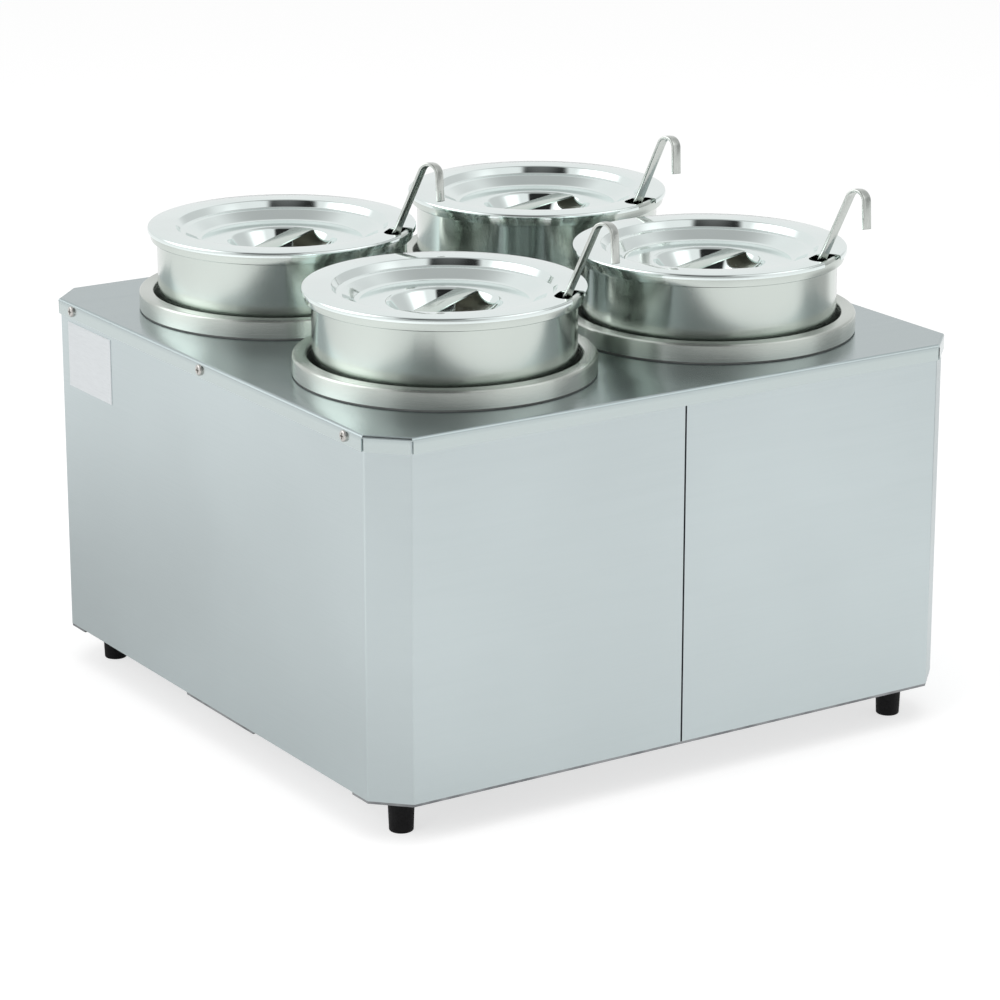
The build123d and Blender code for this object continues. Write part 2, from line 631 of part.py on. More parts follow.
def lid_handle():
    """Flat strap across the recess, flush with the lid's middle, its ends slanted to the recess lip."""
    reach = RECESS_R - STRAP_END_GAP
    foot_reach = reach - STRAP_END_SLANT
    side_view = Polyline((-reach, Z_MIDDLE), (reach, Z_MIDDLE), (foot_reach, Z_MIDDLE - STRAP_T),
                         (-foot_reach, Z_MIDDLE - STRAP_T), close=True)
    strap = extrude(Plane.XZ * make_face(side_view), STRAP_W / 2, both=True)
    return Rot(0, 0, STRAP_TURN) * strap


def ladle():
    """Round bowl on a flat handle, drawn about the handle, which leans on the pot's mouth and ends in a hook."""
    lean = math.radians(LADLE_LEAN)
    opening = math.radians(HOOK_OPENING)
    mouth_z = Z_POT_TOP - BEAD_ROUND
    bowl_z = Z_POT + POT_WALL + SEAT + BOWL_R
    bowl_out = HANDLE_T + BOWL_R - WELD_SINK
    bowl_rise = bowl_out * math.cos(math.radians(LADLE_TURN)) * math.sin(lean)
    below_mouth = (mouth_z + bowl_rise - bowl_z) / math.cos(lean)
    bend_run = HOOK_R / math.tan(opening / 2)
    corner = Vector(0, HANDLE_ABOVE_MOUTH + bend_run)
    tip = corner + Vector(math.sin(opening), -math.cos(opening)) * (HOOK_TAIL + bend_run)
    path = [(0, -below_mouth - HANDLE_LAP), (corner.X, corner.Y), (tip.X, tip.Y)]
    handle = extrude(Plane.XZ * sheet_face(path, (HOOK_R,), HANDLE_T), HANDLE_W / 2, both=True)
    bowl = Sphere(BOWL_R) - Sphere(BOWL_R - BOWL_WALL)
    bowl -= Box(3 * BOWL_R, 3 * BOWL_R, 3 * BOWL_R, align=BOTTOM)
    whole = handle + Pos(-bowl_out, 0, -below_mouth) * bowl
    return Pos(POT_R - POT_WALL - HANDLE_GAP, 0, mouth_z) * Rot(0, LADLE_LEAN, 0) * Rot(0, 0, LADLE_TURN) * whole


# Assembly: one named node per piece, like fasteners as one group

nodes = {"top_deck": top_deck(), "bottom_pan": bottom_pan(), "rating_plate": rating_plate()}
nodes["terminal_block"] = terminal_block()
nodes["cord_gland"] = gland_spot() * cord_gland()
nodes["gland_nut"] = gland_spot() * gland_nut()

for side_name, side in SIDES.items():
    nodes[f"{side_name}_panel"] = half_panel(side)
    nodes[f"control_plate_{side_name}"] = control_plate(side)

for name, spot in foot_spots().items():
    nodes[f"foot_{name}"] = spot * foot()

pieces_at_each_well = {"well": well(), "pot": pot()}
for piece, shape in pieces_at_each_well.items():
    for name in CORNERS:
        nodes[f"{piece}_{name}"] = well_spot(name) * shape

pieces_with_each_lid = {"lid": lid(), "lid_handle": lid_handle(), "ladle": ladle()}
for piece, shape in pieces_with_each_lid.items():
    for name, turn in LID_TURNS.items():
        nodes[f"{piece}_{name}"] = well_spot(name) * Rot(0, 0, turn) * shape

pieces_at_each_knob = {"thermostat": thermostat(), "thermostat_shaft": thermostat_shaft(), "knob": knob()}
for piece, shape in pieces_at_each_knob.items():
    for name in CORNERS:
        nodes[f"{piece}_{name}"] = knob_spot(name) * shape

bush_nut = nut(BUSH_NUT_FLATS, BUSH_NUT_H, BUSH_R + FIT)
groups = {
    "well_floors": [well_spot(name) * well_floor() for name in CORNERS],
    "well_seals": [well_spot(name) * well_seal() for name in CORNERS],
    "heaters": [well_spot(name) * heater(side) for name, (side, _) in CORNERS.items()],
    "heater_clamps": [well_spot(name) * heater_clamp() for name in CORNERS],
    "heater_nuts": [well_spot(name) * heater_nut() for name in CORNERS],
    "insulation_sleeves": [well_spot(name) * insulation_sleeve() for name in CORNERS],
    "thermostat_nuts": [knob_spot(name) * bush_nut for name in CORNERS],
    "pilot_lamps": [knob_spot(name) * Pos(0, LAMP_RISE, 0) * pilot_lamp() for name in CORNERS],
    "heater_leads": [heater_lead(name) for name in CORNERS],
    "deck_screws": [spot * screw(DECK_SCREW, DECK_SCREW_L) for spot in deck_screw_spots()],
    "base_screws": [spot * screw(BASE_SCREW, BASE_SCREW_L) for spot in base_screw_spots()],
    "seam_screws": [spot * screw(SEAM_SCREW, SEAM_SCREW_L) for spot in seam_screw_spots()],
    "control_plate_screws": [spot * screw(PLATE_SCREW, PLATE_SCREW_L) for spot in plate_screw_spots()],
    "foot_fixings": [spot * piece for spot in foot_spots().values() for piece in (foot_screw(), foot_nut())],
}
for name, pieces in groups.items():
    nodes[name] = Compound([solid for piece in pieces for solid in piece.solids()])

os.makedirs("parts", exist_ok=True)
for name, shape in nodes.items():
    export_step(FRAME_SHIFT * shape, f"parts/{name}.step")
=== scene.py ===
import math

import bmesh
import bpy
from mathutils import Matrix, Vector


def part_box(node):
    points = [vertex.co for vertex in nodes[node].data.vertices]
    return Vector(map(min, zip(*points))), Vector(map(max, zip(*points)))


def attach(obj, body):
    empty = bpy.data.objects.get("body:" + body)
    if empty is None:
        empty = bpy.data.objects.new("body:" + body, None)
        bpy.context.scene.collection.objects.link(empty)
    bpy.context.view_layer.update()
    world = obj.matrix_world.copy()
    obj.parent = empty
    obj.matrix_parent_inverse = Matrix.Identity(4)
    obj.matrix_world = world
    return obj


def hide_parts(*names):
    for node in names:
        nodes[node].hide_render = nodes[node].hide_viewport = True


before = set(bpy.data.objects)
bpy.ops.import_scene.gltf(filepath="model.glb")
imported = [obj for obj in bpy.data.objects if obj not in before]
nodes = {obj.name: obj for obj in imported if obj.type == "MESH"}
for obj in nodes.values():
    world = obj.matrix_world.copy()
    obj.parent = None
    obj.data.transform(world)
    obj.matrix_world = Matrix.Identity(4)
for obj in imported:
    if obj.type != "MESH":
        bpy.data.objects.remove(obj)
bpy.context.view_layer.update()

# Feet. Short black rubber feet with a slight taper, moulded, each bored from below for the screw that holds
# it to the base pan.
MM = 0.001
CORNERS = ("front_left", "front_right", "back_left", "back_right")
FOOT_TOP_R = 8.75
FOOT_TOP_ROUND = 0.5
FOOT_BOTTOM_R = 7.75
FOOT_BOTTOM_ROUND = 0.9
FOOT_HEIGHT = 26.2
FOOT_BORE_R = 5.2
FOOT_SCREW_HOLE_R = 2.4
FOOT_WEB = 6.0
FOOT_STEPS = 64
SEGMENTS_PER_MM = 2
FEWEST_SEGMENTS = 3
MOST_SEGMENTS = 12
MERGE_WITHIN = 0.004
SHARP_BEND = math.radians(32)
# where a noise texture's values mostly lie
NOISE_LOW = 0.3
NOISE_HIGH = 0.7
# share of a full turn
QUARTER_TURN = 0.25


def axis_place(node):
    """Moves a shape that was turned about Z to the upright axis of a node."""
    low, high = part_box(node)
    return Matrix.Translation(((low[0] + high[0]) / 2, (low[1] + high[1]) / 2, 0))


def round_corner(bm, corner, radius, segments):
    """Rounds one corner of a wire section to a radius."""
    before, after = [edge.other_vert(corner).co - corner.co for edge in corner.link_edges]
    turn = math.pi - before.angle(after)
    bmesh.ops.bevel(bm, geom=[corner], offset=radius * math.tan(turn / 2), offset_type="OFFSET",
                    segments=segments, profile=0.5, affect="VERTICES", material=-1)


def wire_section(points, closed=False):
    """Straight runs in the XZ plane; a point is (radius, height, corner radius) in millimetres."""
    bm = bmesh.new()
    corners = [bm.verts.new((x * MM, 0, z * MM)) for x, z, _ in points]
    for a, b in zip(corners, corners[1:]):
        bm.edges.new((a, b))
    if closed:
        bm.edges.new((corners[-1], corners[0]))
    for corner, (_, _, radius) in zip(corners, points):
        if radius:
            segments = round(radius * SEGMENTS_PER_MM)
            round_corner(bm, corner, radius * MM, max(FEWEST_SEGMENTS, min(MOST_SEGMENTS, segments)))
    return bm


def spin_section(bm, steps):
    """Turns a section about Z into a closed shell, with its seam and poles merged."""
    bmesh.ops.spin(bm, geom=bm.verts[:] + bm.edges[:], cent=(0, 0, 0), axis=(0, 0, 1), angle=2 * math.pi,
                   steps=steps, use_merge=True)
    bmesh.ops.remove_doubles(bm, verts=bm.verts, dist=MERGE_WITHIN * MM)
    bmesh.ops.recalc_face_normals(bm, faces=bm.faces)


def piece_from(bm, name, place=None):
    """Makes the object: at the origin, its place in its mesh, shaded smooth across gentle bends only."""
    if place is not None:
        bm.transform(place)
    mesh = bpy.data.meshes.new(name)
    bm.to_mesh(mesh)
    bm.free()
    mesh.polygons.foreach_set("use_smooth", [True] * len(mesh.polygons))
    mesh.set_sharp_from_angle(angle=SHARP_BEND)
    piece = bpy.data.objects.new(name, mesh)
    bpy.context.scene.collection.objects.link(piece)
    return piece


def dress(piece, material):
    """Puts one material on every face."""
    piece.data.materials.clear()
    piece.data.materials.append(material)


def stand_for(piece, node, body, material):
    """A finer piece in place of a CAD node."""
    dress(piece, material)
    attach(piece, body)
    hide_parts(node)


class Finish:
    """A material with its shader, and short ways to add the nodes that vary it."""

    def __init__(self, name, metallic, roughness, colour):
        self.material = bpy.data.materials.new(name)
        self.material.use_nodes = True
        self.tree = self.material.node_tree
        self.shader = self.tree.nodes["Principled BSDF"]
        self.shader.inputs["Metallic"].default_value = metallic
        self.shader.inputs["Roughness"].default_value = roughness
        self.shader.inputs["Base Color"].default_value = (*colour, 1)

    def add(self, kind, **values):
        node = self.tree.nodes.new(kind)
        for key, value in values.items():
            setattr(node, key, value)
        return node

    def join(self, source, target):
        self.tree.links.new(source, target)

    def place(self, scale=(1, 1, 1), offset=(0, 0, 0)):
        """Object coordinates, moved and stretched."""
        where = self.add("ShaderNodeTexCoord")
        mapping = self.add("ShaderNodeMapping")
        mapping.inputs["Location"].default_value = offset
        mapping.inputs["Scale"].default_value = scale
        self.join(where.outputs["Object"], mapping.inputs["Vector"])
        return mapping.outputs["Vector"]

    def noise(self, where, scale, detail=3.0, roughness=0.55):
        texture = self.add("ShaderNodeTexNoise")
        texture.inputs["Scale"].default_value = scale
        texture.inputs["Detail"].default_value = detail
        texture.inputs["Roughness"].default_value = roughness
        self.join(where, texture.inputs["Vector"])
        return texture.outputs["Fac"]

    def span(self, value, low, high, start=NOISE_LOW, stop=NOISE_HIGH):
        """Spreads a texture's value over a range."""
        node = self.add("ShaderNodeMapRange")
        node.inputs["From Min"].default_value = start
        node.inputs["From Max"].default_value = stop
        node.inputs["To Min"].default_value = low
        node.inputs["To Max"].default_value = high
        self.join(value, node.inputs["Value"])
        return node.outputs["Result"]

    def tint(self, value, dark, light, start=NOISE_LOW, stop=NOISE_HIGH):
        """Base colour between two tones."""
        ramp = self.add("ShaderNodeValToRGB")
        for stop_point, position, tone in zip(ramp.color_ramp.elements, (start, stop), (dark, light)):
            stop_point.position = position
            stop_point.color = (*tone, 1)
        self.join(value, ramp.inputs["Fac"])
        self.join(ramp.outputs["Color"], self.shader.inputs["Base Color"])

    def vary(self, value, colour, darker, lighter):
        """Base colour a little darker and lighter than one tone."""
        self.tint(value, [c * darker for c in colour], [min(1, c * lighter) for c in colour])

    def rough(self, value, low, high):
        self.join(self.span(value, low, high), self.shader.inputs["Roughness"])

    def bump(self, value, depth):
        """Relief of a depth in millimetres."""
        node = self.add("ShaderNodeBump")
        node.inputs["Strength"].default_value = 1.0
        node.inputs["Distance"].default_value = depth * MM
        self.join(value, node.inputs["Height"])
        self.join(node.outputs["Normal"], self.shader.inputs["Normal"])

    def stretch(self, share, centre_offset):
        """Draws reflections out across grooves that run round an upright axis."""
        around = self.add("ShaderNodeVectorMath", operation="CROSS_PRODUCT")
        around.inputs[0].default_value = (0, 0, 1)
        self.join(self.place(offset=centre_offset), around.inputs[1])
        self.join(around.outputs["Vector"], self.shader.inputs["Tangent"])
        self.shader.inputs["Anisotropic"].default_value = share
        self.shader.inputs["Anisotropic Rotation"].default_value = QUARTER_TURN


def moulded_rubber():
    finish = Finish("moulded_rubber", metallic=0.0, roughness=0.7, colour=(0.02, 0.02, 0.021))
    grain = finish.noise(finish.place(), scale=900.0)
    wear = finish.noise(finish.place(), scale=60.0)
    finish.tint(wear, dark=(0.003, 0.003, 0.0035), light=(0.009, 0.009, 0.01))
    finish.rough(grain, 0.55, 0.8)
    finish.bump(grain, depth=0.08)
    finish.shader.inputs["Specular IOR Level"].default_value = 0.25
    return finish.material


rubber = moulded_rubber()
web_bottom = FOOT_HEIGHT - FOOT_WEB
for corner in CORNERS:
    section = wire_section([(FOOT_BORE_R, 0, 0), (FOOT_BOTTOM_R, 0, FOOT_BOTTOM_ROUND),
                            (FOOT_TOP_R, FOOT_HEIGHT, FOOT_TOP_ROUND), (FOOT_SCREW_HOLE_R, FOOT_HEIGHT, 0),
                            (FOOT_SCREW_HOLE_R, web_bottom, 0), (FOOT_BORE_R, web_bottom, 0)], closed=True)
    spin_section(section, FOOT_STEPS)
    foot = piece_from(section, f"rubber_foot_{corner}", axis_place(f"foot_{corner}"))
    stand_for(foot, f"foot_{corner}", "casing", rubber)


def zinc_plate():
    finish = Finish("zinc_plate", metallic=1.0, roughness=0.45, colour=(0.30, 0.31, 0.32))
    spangle = finish.add("ShaderNodeTexVoronoi")
    spangle.inputs["Scale"].default_value = 90.0
    finish.join(finish.place(), spangle.inputs["Vector"])
    finish.tint(spangle.outputs["Distance"], dark=(0.24, 0.25, 0.26), light=(0.36, 0.37, 0.38))
    finish.rough(finish.noise(finish.place(), scale=40.0), 0.38, 0.58)
    return finish.material


def plated_screw():
    finish = Finish("plated_screw", metallic=1.0, roughness=0.3, colour=(0.62, 0.60, 0.57))
    stain = finish.noise(finish.place(), scale=700.0)
    finish.tint(stain, dark=(0.48, 0.46, 0.43), light=(0.72, 0.71, 0.69))
    finish.rough(stain, 0.22, 0.42)
    return finish.material


zinc = zinc_plate()
screw_steel = plated_screw()
dress(nodes["bottom_pan"], zinc)
for node in ("base_screws", "foot_fixings"):
    dress(nodes[node], screw_steel)

# Case panels. Two halves of thin stainless sheet, each folded round two corners, with a fine straight grain.
# They meet in a seam at the middle of the front and of the back, where screws hold their inner flanges.
PANEL_TONE = (0.60, 0.67, 0.68)


def straight_grain_steel(name, along, colour, roughness):
    """Brushed sheet: fine scratches drawn out along one direction, and a faint cloudy tone."""
    finish = Finish(name, metallic=1.0, roughness=roughness, colour=colour)
    scratches = finish.noise(finish.place(along), scale=1.0, detail=4.0, roughness=0.6)
    cloud = finish.noise(finish.place(), scale=5.0, detail=2.0)
    finish.vary(cloud, colour, darker=0.965, lighter=1.03)
    finish.rough(scratches, roughness - 0.07, roughness + 0.07)
    finish.bump(scratches, depth=0.012)
    return finish.material


panel_steel = straight_grain_steel("panel_steel", (14, 14, 1900), PANEL_TONE, roughness=0.36)
for node in ("left_panel", "right_panel"):
    dress(nodes[node], panel_steel)
dress(nodes["seam_screws"], screw_steel)

# Deck. One tray of stainless sheet with its lip folded down on all sides and slit at each corner bend, more
# mirror-like than the sides, screwed through the lip to the left and right.
DECK_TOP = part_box("top_deck")[1][2] / MM
# the deck's top is painted darker than its own folded lip, as painted shade; the lip keeps near the side
# panels' tone
DECK_PAINTED_SHADE_TONE = (0.46, 0.53, 0.54)
LIP_TONE = (0.575, 0.645, 0.64)
# below the deck's top: where the lip's tone ends and where the top's painted shade begins
LIP_TONE_END = 4.5
DECK_PAINTED_SHADE_START = 0.5
# so far behind the object, in metres, that rings about it are straight lines from side to side
GRAIN_CENTRE_Y = 1000.0


def deck_sheet():
    """Polished sheet with a faint grain from side to side, which draws reflections out across it; its top is
    painted darker than its folded lip, as painted shade.
    """
    finish = Finish("deck_sheet", metallic=1.0, roughness=0.2, colour=DECK_PAINTED_SHADE_TONE)
    scratches = finish.noise(finish.place((10, 1500, 1500)), scale=1.0, detail=4.0, roughness=0.6)
    split = finish.add("ShaderNodeSeparateXYZ")
    finish.join(finish.place(), split.inputs["Vector"])
    fold, flat = [(DECK_TOP - drop) * MM for drop in (LIP_TONE_END, DECK_PAINTED_SHADE_START)]
    # painted shade: the top's darker tone, blended into the lip's tone over the fold
    finish.tint(finish.span(split.outputs["Z"], 0, 1, fold, flat), LIP_TONE, DECK_PAINTED_SHADE_TONE, start=0, stop=1)
    finish.rough(scratches, 0.17, 0.23)
    finish.bump(scratches, depth=0.003)
    finish.stretch(share=0.8, centre_offset=(0, -GRAIN_CENTRE_Y, 0))
    return finish.material


dress(nodes["top_deck"], deck_sheet())
dress(nodes["deck_screws"], screw_steel)

# Rating plate. A thin plate of pale satin foil, cut to a rectangle and stuck on the left side below the lip.
# It is blank.


def satin_foil():
    finish = Finish("satin_foil", metallic=0.0, roughness=0.42, colour=(0.92, 0.93, 0.95))
    grain = finish.noise(finish.place((300, 30, 300)), scale=4.0)
    finish.tint(grain, dark=(0.86, 0.90, 0.92), light=(0.92, 0.96, 0.98))
    finish.rough(grain, 0.36, 0.5)
    return finish.material


dress(nodes["rating_plate"], satin_foil())

# Wells. Rolled stainless walls whose rims turn over into collars that stand on the deck, satin finished in
# the lathe. Each collar stands on a thin grey seal, and a round floor is welded into the well's lower end.
WELL_PLACES = {corner: axis_place(f"well_{corner}") for corner in CORNERS}
POT_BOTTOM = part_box("pot_front_left")[0][2] / MM
SEAT_GAP = 0.3
WELL_FLOOR = POT_BOTTOM - SEAT_GAP
WELL_INNER_R = 87.6
WELL_SHEET = 1.0
WELL_STEPS = 144
SEAL_TOP = DECK_TOP + 1.0
COLLAR_R = 97.3
COLLAR_TOP = DECK_TOP + 13.0
COLLAR_OUTER_ROUND = 1.8
COLLAR_INNER_ROUND = 1.4
COLLAR_TONE = (0.60, 0.64, 0.60)


def turned_steel(name, place, colour, roughness, groove, rings, stretch):
    """Steel finished in the lathe: fine rings about the piece's own axis, which stretch its reflections."""
    finish = Finish(name, metallic=1.0, roughness=roughness, colour=colour)
    to_axis = -place.translation
    where = finish.place(offset=to_axis)
    split = finish.add("ShaderNodeSeparateXYZ")
    finish.join(where, split.inputs["Vector"])
    flattened = finish.add("ShaderNodeVectorMath", operation="MULTIPLY")
    flattened.inputs[1].default_value = (1, 1, 0)
    finish.join(where, flattened.inputs[0])
    radius = finish.add("ShaderNodeVectorMath", operation="LENGTH")
    finish.join(flattened.outputs["Vector"], radius.inputs[0])
    section_place = finish.add("ShaderNodeCombineXYZ")
    finish.join(radius.outputs["Value"], section_place.inputs["X"])
    finish.join(split.outputs["Z"], section_place.inputs["Y"])
    lines = finish.noise(section_place.outputs["Vector"], scale=rings, detail=3.0, roughness=0.6)
    cloud = finish.noise(where, scale=12.0, detail=2.0)
    finish.vary(cloud, colour, darker=0.96, lighter=1.03)
    finish.rough(lines, roughness * 0.94, roughness * 1.06)
    finish.bump(lines, depth=groove)
    finish.stretch(share=stretch, centre_offset=to_axis)
    return finish.material


def grey_silicone():
    finish = Finish("grey_silicone", metallic=0.0, roughness=0.6, colour=(0.16, 0.165, 0.16))
    cloud = finish.noise(finish.place(), scale=80.0)
    finish.tint(cloud, dark=(0.13, 0.135, 0.13), light=(0.19, 0.195, 0.19))
    finish.rough(cloud, 0.5, 0.7)
    return finish.material


well_outer_r = WELL_INNER_R + WELL_SHEET
skirt_inner_r = COLLAR_R - WELL_SHEET
under_top = COLLAR_TOP - WELL_SHEET
for corner in CORNERS:
    section = wire_section([(COLLAR_R, SEAL_TOP, 0), (COLLAR_R, COLLAR_TOP, COLLAR_OUTER_ROUND),
                            (WELL_INNER_R, COLLAR_TOP, COLLAR_INNER_ROUND), (WELL_INNER_R, WELL_FLOOR, 0),
                            (well_outer_r, WELL_FLOOR, 0),
                            (well_outer_r, under_top, COLLAR_INNER_ROUND - WELL_SHEET),
                            (skirt_inner_r, under_top, COLLAR_OUTER_ROUND - WELL_SHEET),
                            (skirt_inner_r, SEAL_TOP, 0)], closed=True)
    spin_section(section, WELL_STEPS)
    well = piece_from(section, f"heated_well_{corner}", WELL_PLACES[corner])
    satin = turned_steel(f"satin_collar_{corner}", WELL_PLACES[corner], COLLAR_TONE, roughness=0.26,
                         groove=0.0003, rings=2600.0, stretch=1.0)
    stand_for(well, f"well_{corner}", "casing", satin)
dress(nodes["well_floors"], panel_steel)
dress(nodes["well_seals"], grey_silicone())

# Heaters. Cast aluminium plates held under the wells' floors by zinc-plated discs and nuts, with mineral wool
# sleeves wrapped round the wells. Braided leads run from the heaters to the thermostats, and a glazed ceramic
# terminal block stands on the pan.


def cast_aluminium():
    finish = Finish("cast_aluminium", metallic=1.0, roughness=0.5, colour=(0.55, 0.55, 0.54))
    grain = finish.noise(finish.place(), scale=500.0)
    finish.tint(grain, dark=(0.48, 0.48, 0.47), light=(0.62, 0.62, 0.60))
    finish.bump(grain, depth=0.1)
    return finish.material


def mineral_wool():
    finish = Finish("mineral_wool", metallic=0.0, roughness=0.95, colour=(0.70, 0.64, 0.48))
    fibres = finish.noise(finish.place((60, 60, 400)), scale=6.0, detail=6.0, roughness=0.7)
    finish.tint(fibres, dark=(0.58, 0.52, 0.36), light=(0.80, 0.75, 0.60))
    finish.bump(fibres, depth=1.0)
    return finish.material


def sleeved_lead():
    finish = Finish("sleeved_lead", metallic=0.0, roughness=0.7, colour=(0.70, 0.66, 0.60))
    braid = finish.noise(finish.place(), scale=1500.0)
    finish.tint(braid, dark=(0.56, 0.52, 0.47), light=(0.78, 0.75, 0.70))
    finish.bump(braid, depth=0.1)
    return finish.material


def glazed_ceramic():
    finish = Finish("glazed_ceramic", metallic=0.0, roughness=0.25, colour=(0.80, 0.78, 0.72))
    speckle = finish.noise(finish.place(), scale=300.0)
    finish.tint(speckle, dark=(0.74, 0.72, 0.66), light=(0.84, 0.82, 0.77))
    return finish.material


dress(nodes["heaters"], cast_aluminium())
dress(nodes["heater_clamps"], zinc)
dress(nodes["heater_nuts"], screw_steel)
dress(nodes["insulation_sleeves"], mineral_wool())
dress(nodes["heater_leads"], sleeved_lead())
dress(nodes["terminal_block"], glazed_ceramic())

# Control plates. Two plates of brushed stainless, one for each side's pair of wells, screwed over openings in
# the back of the case.
PLATE_TONE = (0.60, 0.655, 0.66)

plate_steel = straight_grain_steel("plate_steel", (14, 14, 2200), PLATE_TONE, roughness=0.32)
for node in ("control_plate_left", "control_plate_right"):
    dress(nodes[node], plate_steel)
dress(nodes["control_plate_screws"], screw_steel)

# Thermostats, knobs and gland. Black mouldings: the thermostats hang behind the plates on nuts, the knobs are
# pushed on their plated shafts, and the gland sits in the back panel with its nut inside.


def black_moulding():
    finish = Finish("black_moulding", metallic=0.0, roughness=0.42, colour=(0.018, 0.018, 0.019))
    grain = finish.noise(finish.place(), scale=1400.0)
    cloud = finish.noise(finish.place(), scale=50.0)
    finish.tint(cloud, dark=(0.013, 0.013, 0.014), light=(0.026, 0.026, 0.028))
    finish.rough(grain, 0.36, 0.48)
    finish.bump(grain, depth=0.04)
    return finish.material


black_plastic = black_moulding()
for corner in CORNERS:
    dress(nodes[f"thermostat_{corner}"], black_plastic)
    dress(nodes[f"thermostat_shaft_{corner}"], screw_steel)
    dress(nodes[f"knob_{corner}"], black_plastic)
dress(nodes["thermostat_nuts"], screw_steel)
for node in ("cord_gland", "gland_nut"):
    dress(nodes[node], black_plastic)

# Pilot lamps. One amber lens for each well, moulded in coloured plastic with a rim, and pushed through the
# control plate above its knob.


def amber_lens():
    finish = Finish("amber_lens", metallic=0.0, roughness=0.18, colour=(0.75, 0.28, 0.02))
    facets = finish.noise(finish.place(), scale=400.0)
    finish.tint(facets, dark=(0.62, 0.20, 0.01), light=(0.82, 0.36, 0.04))
    return finish.material


dress(nodes["pilot_lamps"], amber_lens())

# Pots. Deep drawn stainless pots, polished in the lathe, with a rolled bead round the mouth. They stand loose
# on the wells' floors.
POT_R = 84.4
POT_SHEET = 0.8
POT_INNER_R = POT_R - POT_SHEET
POT_TOP = POT_BOTTOM + 186.0
POT_CORNER_ROUND = 3.6
POT_STEPS = 160
POT_TONE = (0.64, 0.695, 0.655)
BEAD_R = 88.6
BEAD_BOTTOM = POT_TOP - 7.5
BEAD_ROUND = 2.0
BEAD_LOWER_ROUND = 0.5
BEAD_ROOT_ROUND = 0.3

for corner in CORNERS:
    section = wire_section([(0, POT_BOTTOM, 0), (POT_R, POT_BOTTOM, POT_CORNER_ROUND),
                            (POT_R, BEAD_BOTTOM, BEAD_ROOT_ROUND), (BEAD_R, BEAD_BOTTOM, BEAD_LOWER_ROUND),
                            (BEAD_R, POT_TOP, BEAD_ROUND), (POT_INNER_R, POT_TOP, BEAD_ROUND),
                            (POT_INNER_R, POT_BOTTOM + POT_SHEET, POT_CORNER_ROUND - POT_SHEET),
                            (0, POT_BOTTOM + POT_SHEET, 0)])
    spin_section(section, POT_STEPS)
    pot = piece_from(section, f"inset_pot_{corner}", WELL_PLACES[corner])
    polish = turned_steel(f"polished_pot_{corner}", WELL_PLACES[corner], POT_TONE, roughness=0.14,
                          groove=0.0005, rings=1800.0, stretch=1.0)
    stand_for(pot, f"pot_{corner}", f"pot_{corner}", polish)

# Lids. Pressed stainless covers with a turned-down edge, a flat rim, a stepped dish and a round recess in the
# middle, notched at the rim for the ladle. A flat strap is welded across the recess as the handle.
LID_SHEET = 0.9
LID_TOP = POT_TOP + SEAT_GAP + LID_SHEET
LID_R = 90.6
LID_EDGE_H = 3.3
LID_EDGE_ROUND = 1.4
LID_STEPS = 160
LID_TONE = (0.86, 0.94, 0.925)
LID_TURNS = {"front_left": -53.0, "front_right": -63.0, "back_left": -51.0, "back_right": -65.0}
LID_PLACES = {corner: WELL_PLACES[corner] @ Matrix.Rotation(math.radians(turn), 4, "Z")
              for corner, turn in LID_TURNS.items()}
DISH_R = 72.1
DISH_ROUND = 1.6
LEDGE_OUTER_R = 68.6
LEDGE_OUTER_DROP = 4.8
LEDGE_INNER_R = 65.1
LEDGE_INNER_DROP = 5.4
MIDDLE_R = 56.1
MIDDLE_ROUND = 7.0
MIDDLE_Z = LID_TOP - 11.0
RECESS_R = 36.0
RECESS_LIP_ROUND = 4.0
RECESS_FLOOR_R = 24.0
RECESS_FLOOR_ROUND = 9.0
RECESS_Z = MIDDLE_Z - 18.0
NOTCH_WIDTH = 24.0
NOTCH_DEPTH = 15.5
NOTCH_CORNER_R = 8.0
NOTCH_CORNER_SEGMENTS = 8
NOTCH_CUT_HEIGHT = 20.0
STRAP_TURN = math.radians(86.0)
STRAP_REACH = 35.1
STRAP_WIDTH = 14.5
STRAP_SHEET = 1.2
STRAP_SLANT = 3.0
STRAP_EDGE_ROUND = 0.25
STRAP_TONE = (0.66, 0.74, 0.69)
# dark brown for the strap's underside: painted shade under the strap
STRAP_UNDERSIDE_SHADE_TONE = (0.15, 0.13, 0.10)
# a face whose normal points lower than this is on the strap's underside, which gets the painted shade
FACES_DOWN = -0.9


def lid_shell():
    """The pressed upper face, without its thickness."""
    section = wire_section([(LID_R, LID_TOP - LID_EDGE_H, 0), (LID_R, LID_TOP, LID_EDGE_ROUND),
                            (DISH_R, LID_TOP, DISH_ROUND),
                            (LEDGE_OUTER_R, LID_TOP - LEDGE_OUTER_DROP, DISH_ROUND),
                            (LEDGE_INNER_R, LID_TOP - LEDGE_INNER_DROP, DISH_ROUND),
                            (MIDDLE_R, MIDDLE_Z, MIDDLE_ROUND), (RECESS_R, MIDDLE_Z, RECESS_LIP_ROUND),
                            (RECESS_FLOOR_R, RECESS_Z, RECESS_FLOOR_ROUND), (0, RECESS_Z, 0)])
    spin_section(section, LID_STEPS)
    return section


def notch_cutter():
    """A rounded block standing through the rim, open to the outside."""
    bm = bmesh.new()
    bmesh.ops.create_cube(bm, size=1)
    bmesh.ops.scale(bm, vec=(4 * NOTCH_DEPTH * MM, NOTCH_WIDTH * MM, NOTCH_CUT_HEIGHT * MM), verts=bm.verts)
    upright = [edge for edge in bm.edges if abs(edge.verts[0].co.z - edge.verts[1].co.z) > MM]
    bmesh.ops.bevel(bm, geom=upright, offset=NOTCH_CORNER_R * MM, offset_type="OFFSET",
                    segments=NOTCH_CORNER_SEGMENTS, profile=0.5, affect="EDGES", material=-1)
    bm.transform(Matrix.Translation(((LID_R + NOTCH_DEPTH) * MM, 0, LID_TOP * MM)))
    return bm


